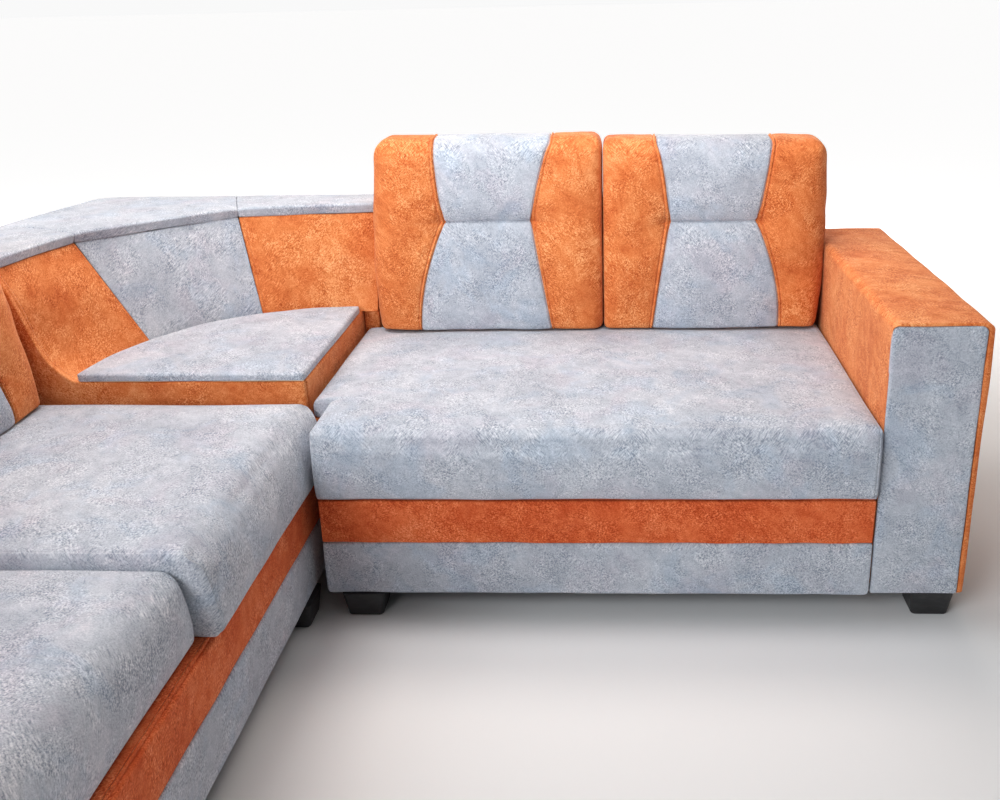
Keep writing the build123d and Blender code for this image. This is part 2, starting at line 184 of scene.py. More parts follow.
DIAG_A = tuple(Vector((1, 1, 1)).to_track_quat("Z", "Y").to_euler())
DIAG_B = tuple(Vector((-1, 1, 1)).to_track_quat("Z", "Y").to_euler())


def suede(name, place, tones, cool, warm, ink, crack_ink, sheen, sheen_tint, amounts):
    """Brushed suede cloth: cloudy tone, fine grain, short crossed nap strokes in patches, a few thin creases."""
    g = Graph(name)
    co = g.map(g.co, loc=place)
    cloud = g.noise(co, 7.0, 3.0, 0.5, 0.5)
    mid = g.noise(g.map(co, rot=DIAG_B, scale=(1, 1, 1.8)), 40.0, 4.0, 0.62, 0.7)
    grain = g.noise(co, 400.0, 3.0, 0.70)
    level = g.total(*zip(amounts, (cloud, mid, grain)))
    nap = None
    for turn, at in ((DIAG_A, (1.3, 0.2, 5.0)), (DIAG_B, (8.0, 3.0, 0.6))):
        line = g.m("SUBTRACT", g.noise(g.map(co, rot=turn, scale=(1, 1, 6.0)), 400.0, 1.0, 0.5), 0.5)
        patch = g.ramp(g.noise(g.map(co, loc=at), 15.0, 2.0), [(0.44, 0.22), (0.60, 1.0)], True)
        one = g.m("MULTIPLY", line, patch)
        nap = one if nap is None else g.m("ADD", nap, one)
    level = g.m("ADD", level, g.m("MULTIPLY", nap, amounts[3]))
    colour = g.ramp(g.m("MULTIPLY", level, 0.5), tones)
    for at, tint in (((4.0, 2.0, 7.0), cool), ((9.0, 6.0, 2.0), warm)):
        where = g.ramp(g.noise(g.map(co, loc=at), 9.0, 3.0, 0.58, 0.6), [(0.48, 0.0), (0.66, 1.0)], True)
        colour = g.mix(where, colour, tint, "MULTIPLY")
    # fine creases
    loose = g.shift(co, g.noise(co, 34.0, 3.0, 0.6, 0.0, True), 0.022)
    crease = g.ramp(g.cells(g.map(loose, rot=DIAG_A, scale=(1, 1, 3.2)), 30.0), [(0.0, 1.0), (0.016, 0.0)])
    where = g.ramp(g.noise(g.map(co, loc=(2.0, 9.0, 4.0)), 12.0, 2.0), [(0.54, 0.0), (0.61, 1.0)], True)
    crease = g.m("MULTIPLY", crease, where)
    colour = g.mix(g.m("MULTIPLY", crease, crack_ink), colour, ink, "MULTIPLY")
    normal = g.bump(g.total((0.6, grain), (1.0, nap), (-0.35, crease)), 0.55, 0.0015)
    g.set(Specular_IOR_Level=0.22, Sheen_Weight=sheen, Sheen_Roughness=0.42, Sheen_Tint=(*sheen_tint, 1))
    return g.done(colour, g.ramp(mid, [(0.35, 0.95), (0.65, 0.76)]), normal)


orange = suede("orange_suede_cloth", (0.0, 0.0, 0.0),
               [(0.30, (0.381, 0.064, 0.013)), (0.45, (0.592, 0.149, 0.039)), (0.55, (0.721, 0.236, 0.074)), (0.72, (0.906, 0.445, 0.190))],
               (0.92, 0.82, 0.76), (1.0, 1.06, 1.12), (0.55, 0.30, 0.20), 0.40, 0.20, (1.0, 0.72, 0.48), (0.60, 0.62, 0.78, 1.15))
# a darker, more saturated copy of the same orange cloth for the low bands: painted shade for the shadow under the seats
orange_painted_shade = suede("orange_suede_band_painted_shade", (0.0, 0.0, 0.0),
                   [(0.30, (0.384, 0.043, 0.009)), (0.45, (0.596, 0.100, 0.027)), (0.55, (0.726, 0.160, 0.051)), (0.72, (0.900, 0.305, 0.131))],
                   (0.92, 0.82, 0.76), (1.0, 1.06, 1.12), (0.55, 0.30, 0.20), 0.40, 0.12, (1.0, 0.66, 0.40), (0.60, 0.62, 0.78, 1.15))
grey = suede("grey_suede_cloth", (3.0, 5.0, 1.0),
             [(0.30, (0.216, 0.241, 0.294)), (0.45, (0.376, 0.407, 0.465)), (0.55, (0.475, 0.507, 0.563)), (0.72, (0.690, 0.704, 0.738))],
             (0.90, 0.955, 1.0), (1.0, 0.955, 0.965), (0.45, 0.48, 0.60), 0.50, 0.22, (1.0, 0.95, 0.95), (0.52, 0.60, 0.88, 1.35))


def thread(name, a, b):
    g = Graph(name)
    twist = g.wave(g.map(g.co, rot=DIAG_A), 700.0, 1.5, 2.0)
    fuzz = g.noise(g.co, 1800.0, 2.0)
    g.set(Roughness=0.7, Sheen_Weight=0.3)
    return g.done(g.mix(twist, a, b), None, g.bump(g.total((0.7, twist), (0.3, fuzz)), 0.5, 0.0003))


orange_thread = thread("orange_thread", (0.36, 0.075, 0.020), (0.58, 0.17, 0.05))
grey_thread = thread("grey_thread", (0.42, 0.43, 0.48), (0.66, 0.67, 0.71))


def plastic():
    g = Graph("black_moulded_plastic")
    spark = g.noise(g.co, 750.0, 3.0, 0.6)
    scuff = g.noise(g.map(g.co, scale=(1, 1, 0.3)), 35.0, 5.0, 0.65, 0.8)
    colour = g.ramp(scuff, [(0.40, (0.010, 0.010, 0.011)), (0.72, (0.030, 0.029, 0.030))])
    rough = g.ramp(g.total((0.6, scuff), (0.4, spark)), [(0.35, 0.36), (0.65, 0.58)])
    g.set(Specular_IOR_Level=0.5)
    return g.done(colour, rough, g.bump(spark, 0.35, 0.0004))


def wood(name, pale, brown, along, ring):
    g = Graph(name)
    co = g.shift(g.map(g.co, scale=along), g.noise(g.co, 5.0, 3.0, 0.6, 0.0, True), 0.02)
    rings = g.wave(co, ring, 5.0, 3.0, "DIAGONAL")
    fibre = g.noise(g.map(g.co, scale=along), 160.0, 4.0, 0.6)
    speck = g.noise(g.co, 14.0, 4.0, 0.6)
    tone = g.total((0.45, rings), (0.35, fibre), (0.20, speck))
    colour = g.ramp(tone, [(0.25, brown), (0.70, pale)])
    g.set(Specular_IOR_Level=0.3)
    return g.done(colour, g.ramp(fibre, [(0.35, 0.80), (0.65, 0.62)]), g.bump(g.total((0.5, rings), (0.5, fibre)), 0.3, 0.0006))


def webbing_cloth():
    g = Graph("elastic_webbing_weave")
    a = g.wave(g.co, 120.0, 0.3, 1.0, "X")
    b = g.wave(g.co, 120.0, 0.3, 1.0, "Y")
    stripe = g.ramp(g.noise(g.co, 18.0, 2.0), [(0.42, (0.035, 0.035, 0.04)), (0.60, (0.075, 0.07, 0.07))])
    weave = g.m("MULTIPLY", a, b)
    g.set(Roughness=0.85, Sheen_Weight=0.2)
    return g.done(g.mix(weave, stripe, (0.16, 0.15, 0.14)), None, g.bump(weave, 0.6, 0.0008))


def dust_cloth():
    g = Graph("black_dust_cloth")
    felt = g.noise(g.co, 420.0, 5.0, 0.7)
    fold = g.noise(g.co, 9.0, 3.0, 0.5, 0.6)
    colour = g.ramp(g.total((0.6, felt), (0.4, fold)), [(0.36, (0.012, 0.012, 0.014)), (0.66, (0.045, 0.045, 0.05))])
    g.set(Roughness=0.95)
    return g.done(colour, None, g.bump(g.total((0.5, felt), (0.5, fold)), 0.5, 0.001))


def zinc():
    g = Graph("zinc_plated_steel")
    spangle = g.cells(g.co, 260.0, "F1")
    brush = g.noise(g.map(g.co, scale=(1, 12, 1)), 320.0, 3.0)
    tone = g.total((0.6, spangle), (0.4, brush))
    g.set(Metallic=1.0)
    return g.done(g.ramp(tone, [(0.2, (0.42, 0.43, 0.45)), (0.7, (0.68, 0.69, 0.71))]), g.ramp(tone, [(0.2, 0.28), (0.7, 0.48)]), g.bump(brush, 0.2, 0.0002))


finish = {
    "orange_suede": orange,
    "grey_suede": grey,
    "black_plastic": plastic(),
    "timber": wood("pine_frame_timber", (0.72, 0.52, 0.31), (0.46, 0.28, 0.13), (6, 1, 1), 34.0),
    "plywood": wood("birch_plywood", (0.76, 0.60, 0.40), (0.58, 0.41, 0.23), (9, 9, 1), 55.0),
    "webbing": webbing_cloth(),
    "dust_cloth": dust_cloth(),
    "zinc_steel": zinc(),
}

# every carried-over construction piece takes the finish of its slot
PLY = ("bin_floor", "bin_wall_back", "bin_wall_left", "corner_deck", "corner_shelf_board", "lid_board", "lid_locating_blocks")
STEEL = ("foot_screws", "connector_plates", "connector_screws")
for node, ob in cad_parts.items():
    slot = ("black_plastic" if node == "feet" else "dust_cloth" if node == "dust_covers" else "webbing" if node.endswith("webbing")
            else "plywood" if node in PLY else "zinc_steel" if node in STEEL else "timber")
    ob.data.materials.clear()
    ob.data.materials.append(finish[slot])


# ------------------------------------------------------------------- soft mesh maker
def ticks(length, r0, r1, step, marks=()):
    """Grid lines along one side of a soft box: closer in the rounded ends and at marks."""
    def arc(r):
        if r <= 0:
            return [0.0]
        k = 6 if r > 40 else 4 if r > 12 else 3
        return [r * (1 - math.tan(math.pi / 4 * i / k)) for i in range(k, -1, -1)]
    lo, hi = arc(r0), [length - x for x in reversed(arc(r1))]
    span = hi[0] - lo[-1]
    n = max(1, int(round(span / step)))
    xs = lo + [lo[-1] + span * i / n for i in range(1, n)] + hi
    marks = sorted(marks)
    keep = [x for x in xs if x in (xs[0], xs[-1]) or all(abs(x - m) > min(5.0, 0.4 * step) for m in marks)]
    xs = sorted(keep + [m for m in marks if 0.5 < m < length - 0.5])
    out = [xs[0]]
    for x in xs[1:]:
        if x - out[-1] > 0.4:
            out.append(x)
    out[-1] = length
    return np.array(out)


def gridbox(xs, ys, zs):
    """The skin of a box as quads. Returns points, quads, the side each quad is on and a point lookup."""
    idx, pts, quads, side = {}, [], [], []
    nx, ny, nz = len(xs), len(ys), len(zs)

    def v(i, j, k):
        key = (i, j, k)
        if key not in idx:
            idx[key] = len(pts)
            pts.append((xs[i], ys[j], zs[k]))
        return idx[key]

    for i in range(nx - 1):
        for j in range(ny - 1):
            quads.append((v(i, j, 0), v(i, j + 1, 0), v(i + 1, j + 1, 0), v(i + 1, j, 0))); side.append("bottom")
            quads.append((v(i, j, nz - 1), v(i + 1, j, nz - 1), v(i + 1, j + 1, nz - 1), v(i, j + 1, nz - 1))); side.append("top")
        for k in range(nz - 1):
            quads.append((v(i, 0, k), v(i + 1, 0, k), v(i + 1, 0, k + 1), v(i, 0, k + 1))); side.append("front")
            quads.append((v(i, ny - 1, k), v(i, ny - 1, k + 1), v(i + 1, ny - 1, k + 1), v(i + 1, ny - 1, k))); side.append("back")
    for j in range(ny - 1):
        for k in range(nz - 1):
            quads.append((v(0, j, k), v(0, j, k + 1), v(0, j + 1, k + 1), v(0, j + 1, k))); side.append("start")
            quads.append((v(nx - 1, j, k), v(nx - 1, j + 1, k), v(nx - 1, j + 1, k + 1), v(nx - 1, j, k + 1))); side.append("end")
    return np.array(pts, float), quads, side, idx


def round_off(P, dims, r, edges):
    """Rounds a box: r everywhere, then larger radii on the edges named (axis, end, axis, end, radius)."""
    for a, ea, b, eb, er in edges:
        da = (er - P[:, a]) if ea == 0 else (P[:, a] - dims[a] + er)
        db = (er - P[:, b]) if eb == 0 else (P[:, b] - dims[b] + er)
        h = np.hypot(da, db)
        hit = (da > 0) & (db > 0) & (h > er)
        f = er / np.maximum(h, 1e-9)
        for ax, en, dd in ((a, ea, da), (b, eb, db)):
            new = (er - dd * f) if en == 0 else (dims[ax] - er + dd * f)
            P[hit, ax] = new[hit]
    if r > 0:
        rr = np.minimum(r, np.asarray(dims) / 2 - 0.01)
        q = np.clip(P, rr, np.asarray(dims) - rr)
        d = P - q
        n = np.linalg.norm(d, axis=1)
        lim = rr.min()
        hit = n > lim
        P[hit] = q[hit] + d[hit] * (lim / n[hit])[:, None]
    return P


def normals(P, quads):
    F = np.asarray(quads)
    n = np.cross(P[F[:, 2]] - P[F[:, 0]], P[F[:, 3]] - P[F[:, 1]])
    out = np.zeros_like(P)
    for k in range(4):
        np.add.at(out, F[:, k], n)
    return out / np.maximum(np.linalg.norm(out, axis=1, keepdims=True), 1e-12)


def relax(P, quads, weight, rounds):
    """Evens out the surface where weight is above 0."""
    F = np.asarray(quads)
    E = np.concatenate([F[:, [0, 1]], F[:, [1, 2]], F[:, [2, 3]], F[:, [3, 0]]])
    E = np.unique(np.sort(E, 1), axis=0)
    deg = np.zeros(len(P))
    np.add.at(deg, E.ravel(), 1)
    for _ in range(rounds):
        s = np.zeros_like(P)
        np.add.at(s, E[:, 0], P[E[:, 1]])
        np.add.at(s, E[:, 1], P[E[:, 0]])
        P = P + (s / deg[:, None] - P) * weight[:, None]
    return P


def ripple(P, size, seed, n=9):
    """A smooth uneven field, about -1 to 1, with features about size mm across."""
    rng = np.random.RandomState(seed)
    out = np.zeros(len(P))
    for _ in range(n):
        k = rng.normal(size=3)
        k *= 2 * math.pi / size * (0.45 + 0.9 * rng.rand()) / np.linalg.norm(k)
        out += np.sin(P @ k + rng.rand() * 6.28)
    return out / math.sqrt(n)


def ease(x):
    x = np.clip(x, 0, 1)
    return x * x * (3 - 2 * x)


def build(name, P, quads, mats, which=None, flip=False, sub=1):
    """A mesh object from points in metres."""
    if flip:
        quads = [q[::-1] for q in quads]
    me = bpy.data.meshes.new(name)
    me.from_pydata(P.tolist(), [], [tuple(int(i) for i in q) for q in quads])
    for m in mats:
        me.materials.append(m)
    if which is not None:
        me.polygons.foreach_set("material_index", which)
    me.polygons.foreach_set("use_smooth", [True] * len(me.polygons))
    me.update()
    ob = bpy.data.objects.new(name, me)
    scene.collection.objects.link(ob)
    if sub:
        s = ob.modifiers.new("soften", "SUBSURF")
        s.levels = s.render_levels = sub
    return ob


def inflate(P, quads, pins, cap, pressure=4.0, frames=20):
    """Settles a padded cover (mm) as cloth with air in it, held where pins are 1."""
    me = bpy.data.meshes.new("air")
    me.from_pydata((P / 1000.0).tolist(), [], [tuple(int(i) for i in q) for q in quads])
    me.update()
    ob = bpy.data.objects.new("air", me)
    scene.collection.objects.link(ob)
    held = ob.vertex_groups.new(name="held")
    for w in np.unique(np.round(pins, 2)):
        if w > 0:
            held.add([int(i) for i in np.nonzero(np.abs(np.round(pins, 2) - w) < 1e-6)[0]], float(w), "REPLACE")
    mod = ob.modifiers.new("air", "CLOTH")
    st = mod.settings
    st.quality = 5
    st.mass = 0.3
    st.tension_stiffness = st.compression_stiffness = 15.0
    st.shear_stiffness = 6.0
    st.bending_stiffness = 0.8
    st.vertex_group_mass = "held"
    st.use_pressure = True
    st.uniform_pressure_force = pressure
    st.effector_weights.gravity = 0.0
    mod.collision_settings.use_collision = False
    mod.collision_settings.use_self_collision = False
    mod.point_cache.frame_start = 1
    mod.point_cache.frame_end = frames
    for f in range(1, frames + 1):
        scene.frame_set(f)
    ev = ob.evaluated_get(bpy.context.evaluated_depsgraph_get())
    out = np.empty(3 * len(P))
    ev.to_mesh().vertices.foreach_get("co", out)
    ev.to_mesh_clear()
    bpy.data.objects.remove(ob, do_unlink=True)
    bpy.data.meshes.remove(me)
    scene.frame_set(1)
    d = np.nan_to_num(out.reshape(-1, 3) * 1000.0 - P)
    m = np.linalg.norm(d, axis=1)
    # soft limit on how far a point may move
    d *= (cap * np.tanh(m / cap) / np.maximum(m, 1e-6))[:, None]
    return P + d


def upholster(ob, nodes, body="sofa"):
    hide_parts(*nodes)
    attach(ob, body)
    return ob


def crown(P0, dims, a, b, power=2.6):
    u, v = 2 * P0[:, a] / dims[a] - 1, 2 * P0[:, b] / dims[b] - 1
    return (1 - np.abs(u) ** power) * (1 - np.abs(v) ** power)


def soft_box(name, lo, hi, place, mat, nodes, r=4.0, edges=(), step=26.0, marks=((), (), ()), shape=None, warp=None,
             wave=0.7, size=170.0, seed=1, body="sofa", sub=1, which=None, mats=None, pins=None, cap=8.0, after=None):
    """An upholstered panel or block between two corners, rounded, then shaped, then put in place."""
    lo, hi = np.array(lo, float), np.array(hi, float)
    dims = hi - lo
    ends = [[r, r] for _ in range(3)]
    for a, ea, b, eb, er in edges:
        ends[a][ea] = max(ends[a][ea], er)
        ends[b][eb] = max(ends[b][eb], er)
    ax = [ticks(dims[a], min(ends[a][0], dims[a] / 2.2), min(ends[a][1], dims[a] / 2.2), step, marks[a]) for a in range(3)]
    P0, quads, side, idx = gridbox(*ax)
    P = round_off(P0.copy(), dims, r, edges)
    if shape is not None:
        P = shape(P, P0, dims, quads)
    if pins is not None:
        P = inflate(P, quads, pins(P0, dims), cap)
    if after is not None:
        P = after(P, P0, dims, quads)
    if wave:
        P = P + normals(P, quads) * (wave * ripple(P + lo, size, seed))[:, None]
    P = warp(P, dims) if warp is not None else P + lo
    ob = build(name, place(P), quads, mats or [mat], which(P0, quads, side) if which else None, (place in MIRRORED) != bool(getattr(warp, "mirrored", False)), sub)
    upholster(ob, nodes, body)
    return ob, place(P), quads, idx, ax


def stitches(name, lines, mat, body, length=5.2, gap=2.4, radius=0.75, lift=0.2):
    """Rows of thread stitches. Each line is (points, outward normals) in metres."""
    V, Q = [], []
    ring = 6
    for pts, nrm in lines:
        seg = np.linalg.norm(np.diff(pts, axis=0), axis=1)
        acc = np.concatenate([[0], np.cumsum(seg)])
        at = lambda x, arr: np.stack([np.interp(x, acc, arr[:, c]) for c in range(3)], 1)
        pos = np.arange(0.004, acc[-1] - 0.004, (length + gap) / 1000.0)
        for x in pos:
            s = x + np.array([0.0, 0.22, 0.5, 0.78, 1.0]) * length / 1000.0
            c, n = at(s, pts), at(s, nrm)
            n /= np.linalg.norm(n, axis=1, keepdims=True)
            t = np.gradient(c, axis=0)
            tl = np.linalg.norm(t, axis=1, keepdims=True)
            if tl.min() < 0.0004:
                continue
            t /= tl
            b = np.cross(t, n)
            rad = radius / 1000.0 * np.array([0.35, 0.85, 1.0, 0.85, 0.35])
            sink = (lift + radius * np.array([-1.0, -0.1, 0.25, -0.1, -1.0])) / 1000.0
            base = len(V)
            for i in range(5):
                for k in range(ring):
                    an = 2 * math.pi * k / ring
                    V.append(c[i] + n[i] * (sink[i] + rad[i] * math.sin(an)) + b[i] * rad[i] * math.cos(an))
            for i in range(4):
                for k in range(ring):
                    k2 = (k + 1) % ring
                    Q.append((base + i * ring + k, base + i * ring + k2, base + (i + 1) * ring + k2, base + (i + 1) * ring + k))
            Q.append(tuple(base + k for k in reversed(range(ring))))
            Q.append(tuple(base + 4 * ring + k for k in range(ring)))
    ob = build(name, np.array(V), [q[::-1] for q in Q], [mat], None, False, 0)
    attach(ob, body)
    return ob


# ----------------------------------------------------------------------------- seats
def seat_shape(slope):
    def shape(P, P0, dims, quads):
        L, D, H = dims
        up = ease((P0[:, 2] - H + 70) / 70)
        fr = ease((110 - P0[:, 1]) / 110)
        P[:, 2] += up * (6.0 * crown(P0, dims, 0, 1, 2.4) - 4.5)
        # the front swells a little, leans back and tucks in at the bottom
        h = np.clip(P0[:, 2] / H, 0, 1)
        P[:, 1] += fr * (5.0 - 5.0 * np.sin(h * math.pi) ** 0.8 + 4.0 * ease((0.16 - h) / 0.16) + slope * h ** 1.4)
        # ends give a little between the corners
        endc = np.sin(np.clip(P0[:, 1] / D, 0, 1) * math.pi) * np.sin(h * math.pi)
        P[:, 0] += np.where(P0[:, 0] <= 0, 1.2 * (1 - endc), np.where(P0[:, 0] >= L, -1.2 * (1 - endc), 0))
        return P
    return shape


def seat_pins(P0, dims):
    L, D, H = dims
    w = np.zeros(len(P0))
    w[(P0[:, 0] < 14) | (P0[:, 0] > L - 14)] = 0.9
    w[P0[:, 1] > D - 150] = 0.85
    w[(P0[:, 2] < 12) | (P0[:, 1] > D - 0.01) | (P0[:, 0] < 0.01) | (P0[:, 0] > L - 0.01)] = 1.0
    return w


def seat_sewing(tongue):
    def after(P, P0, dims, quads):
        L, D, H = dims
        # seams where the end panels are sewn on
        n = normals(P, quads)
        for off in (9.0, L - 9.0):
            g = np.exp(-((P0[:, 0] - off) / 1.8) ** 2)
            face = ((P0[:, 2] >= H - 0.01) | (P0[:, 1] <= 0.01))
            P = P - n * (2.2 * g * face)[:, None]
        if tongue:
            # behind the left wing the edge reaches over the end filler
            d = P0[:, 1] - 32.0
            w = ease((d - 148.0) / 5.0) * (1 - ease((d - 654.0) / 5.0)) * (P0[:, 2] > 115.9)
            P[:, 0] -= 38.5 * w * (1 - ease((P0[:, 0] - 20.0) / 80.0))
        return P
    return after


def seat(name, node, a, b, front, top, place, seed, slope=0.0, tongue=False, roll=46.0):
    L = b - a
    marks = [9 + o for o in (-4, -1.7, 0, 1.7, 5)] + [L - 9 + o for o in (-5, -1.7, 0, 1.7, 4)]
    my = (178.0, 180.0, 182.5, 185.0, 187.0, 684.5, 686.0, 688.5, 691.0, 692.5) if tongue else ()
    mz = (113.0, 115.4, 116.4, 119.0) if tongue else ()
    return soft_box(name, (a, front, 287.5), (b, 738.0, top), place, grey, [node], r=8.0, step=18.0,
                    edges=[(1, 0, 2, 1, roll), (1, 0, 2, 0, 14.0), (0, 0, 2, 1, 17.0), (0, 1, 2, 1, 17.0), (0, 0, 1, 0, 20.0), (0, 1, 1, 0, 20.0)],
                    marks=(marks, my, mz), shape=seat_shape(slope), wave=0.9, size=190.0, seed=seed,
                    pins=seat_pins, cap=6.0, after=seat_sewing(tongue))


seat("bench_seat_cushion", "right_bench_seat", 1.0, 1157.0, -32.0, 449.0, to_right, 3, 8.0, True, 22.0)
seat("wing_seat_inner_cushion", "left_seat_inner", 1.0, 630.0, -32.0, 449.0, to_left, 5, 22.0, False, 42.0)
seat("wing_seat_outer_cushion", "left_seat_outer", 634.0, 1263.0, 6.0, 429.0, to_left, 8, 17.0, False, 40.0)


# --------------------------------------------------------------------- wings, panels
def front_puff(amount):
    def f(P, P0, dims, quads):
        P[:, 1] -= amount * crown(P0, dims, 0, 2, 4.0) * (P0[:, 1] < dims[1] / 2)
        return P
    return f


def arm_shape(P, P0, dims, quads):
    L, D, H = dims
    up = ease((P0[:, 2] - H + 60) / 60)
    P[:, 2] += up * (3.0 * crown(P0, dims, 0, 1, 2.2) - 2.0)
    # recess for the front panel, with rounded upper corners
    s, z = P0[:, 0], P0[:, 2]
    x1, z1, rc = L - 12.5, H - 8.0, 15.0
    dx, dz = s - (x1 - rc), z - (z1 - rc)
    inside = (s < x1) & (z < z1) & ~((dx > 0) & (dz > 0) & (np.hypot(dx, dz) > rc)) & (P0[:, 1] <= 0.01)
    P[inside, 1] = 14.6
    P[inside & (s <= 0.01), 0] = np.maximum(P[inside & (s <= 0.01), 0], 0.5)
    # shallow recess underneath, for the dust cover
    under = (z <= 0.01) & (s > 12.0) & (s < L - 12.0) & (P0[:, 1] > 19.0) & (P0[:, 1] < D - 14.0)
    P[under, 2] += 5.0
    return P


def lean(z):
    return 30.0 * (z - 452.0) / 289.0


def lean_warp(lo, thick):
    def f(P, dims):
        Q = P + np.array(lo)
        Q[:, 1] += np.where(Q[:, 2] > 452.0, lean(Q[:, 2]), 0.0)
        return Q
    return f


def wing(tag, run, place, e0, seed):
    def n(part):
        return tag + "_" + part
    # the base band, its fold and the deck cloth take the darkened orange copy, which is painted shade
    soft_box(n("base_band_cover"), (1, -5.5, 180.4), (run - 3, 6, 279.0), place, orange_painted_shade, [n("base_band")], r=3.5, step=24, shape=front_puff(2.2), wave=0.7, size=120, seed=seed)
    soft_box(n("base_band_fold"), (2, 0.8, 279.6), (run - 4, 5.6, 285.4), place, orange_painted_shade, [n("base_band")], r=1.0, step=60, wave=0.0, seed=seed)
    soft_box(n("base_deck_cloth"), (2, 5.0, 285.9), (run - 4, 120.0, 287.2), place, orange_painted_shade, [n("base_band")], r=0.5, step=40, wave=0.0, seed=seed)
    soft_box(n("plinth_band_cover"), (1, -8, 58.2), (run - 3, 6, 180.0), place, grey, [n("plinth_band")], r=4.5, step=24,
             edges=[(0, 0, 2, 0, 14.0), (0, 1, 2, 0, 14.0), (1, 0, 2, 1, 6.5)], shape=front_puff(2.2), wave=0.7, size=150, seed=seed + 1)
    soft_box(n("end_panel"), (1, 6.5, 59.6), (8.5, 741, 286.5), place, orange, [n("end_cover")], r=2.0, step=40, wave=0.3, seed=seed + 2)
    A = run + 0.5
    L, H = 194.5, 602.0
    mx = [L - 12.5 + o for o in (-6, -2.5, -0.4, 0.4, 3)]
    mz = [H - 8.0 + o for o in (-14, -9, -5, -2.5, -0.4, 0.4, 3)]
    soft_box(n("arm_upholstery"), (A, 0, 58.0), (run + 195.0, 845.0, 660.0), place, orange, [n("arm_cover")], r=6.0, step=24,
             edges=[(0, 0, 2, 1, 19.0), (0, 1, 2, 1, 19.0), (1, 1, 2, 1, 12.0), (0, 1, 1, 1, 12.0)], marks=(mx, (14.6, 20.0), mz), shape=arm_shape, wave=0.9, size=160, seed=seed + 3)
    soft_box(n("arm_front_panel"), (run + 1.0, -2.2, 58.6), (run + 181.4, 13.8, 651.3), place, grey, [n("arm_front")], r=5.0, step=20,
             edges=[(0, 0, 2, 1, 15.0), (0, 1, 2, 1, 15.0)], shape=front_puff(1.6), wave=0.6, size=150, seed=seed + 4)
    e1 = run - 1.0
    soft_box(n("back_padding"), (e0 + 12.5, 742, 287.5), (e1 - 12.5, 754, 741), place, orange, [n("back_pad")], r=3.0, step=34, warp=lean_warp((e0 + 12.5, 742, 287.5), 12), marks=((), (), (164.5,)), wave=0.5, seed=seed + 5)
    # outer back with a centre seam
    mid = (run - 0.5 - e0) / 2

    def seam(P, P0, dims, quads):
        P[:, 1] += np.where(P0[:, 1] > dims[1] / 2, 2.4 * crown(P0, dims, 0, 2, 6.0) - 2.6 * np.exp(-np.abs(P0[:, 0] - mid) / 5.0), 0)
        return P
    soft_box(n("outer_back_cover"), (e0, 832.5, 58.2), (run - 0.5, 845, 741), place, orange, [n("outer_back")], r=4.0, step=30, shape=seam,
             marks=([mid + o for o in (-12, -6, -2, 0, 2, 6, 12)], (), ()), wave=0.8, size=200, seed=seed + 6)

    def end_warp(P, dims):
        Q = P + np.array((e1 - 12, 742, 287.5))
        k = np.where(Q[:, 2] > 452.0, lean(Q[:, 2]), 0.0)
        Q[:, 1] += k * (832.0 - Q[:, 1]) / 90.0
        return Q
    soft_box(n("back_end_panel"), (e1 - 12, 742, 287.5), (e1, 832, 741), place, orange, [n("back_end")], r=3.0, step=30, warp=end_warp, wave=0.4, seed=seed + 7)
    soft_box(n("back_cap_pad"), (e0, 775.5, 741.5), (run - 1.0, 845, 768), place, grey, [n("back_cap")], r=5.0, step=26,
             edges=[(1, 0, 2, 1, 10.0), (1, 1, 2, 1, 10.0)], wave=0.8, size=140, seed=seed + 8)


wing("right", 1158.0, to_right, -3.0, 20)
wing("left", 1264.0, to_left, 0.0, 40)


soft_box("right_end_filler_cover", (-45.0, 147.5, 58.2), (-0.5, 741.0, 400.0), to_right, orange, ["right_end_filler"], r=6.0, step=26, wave=0.7, seed=61)
soft_box("right_end_filler_bolster", (-45.0, 664.5, 400.5), (-3.5, 740.0, 488.0), to_right, orange, ["right_end_filler"], r=5.0, step=22, wave=0.6, seed=62)


def gable_warp(P, dims):
    Q = P + np.array((-3.0, 742, 60.0))
    k = np.where(Q[:, 2] > 452.0, lean(Q[:, 2]), 0.0)
    Q[:, 1] += k * (832.0 - Q[:, 1]) / 90.0
    return Q


soft_box("right_back_gable_cover", (-3.0, 742, 60.0), (9.0, 832, 741), to_right, orange, ["right_back_gable"], r=3.0, step=30, warp=gable_warp, wave=0.4, seed=63)


# --------------------------------------------------------------------- back cushions
def late(p):
    return lambda x: x ** p


def early(p):
    return lambda x: 1 - (1 - x) ** p


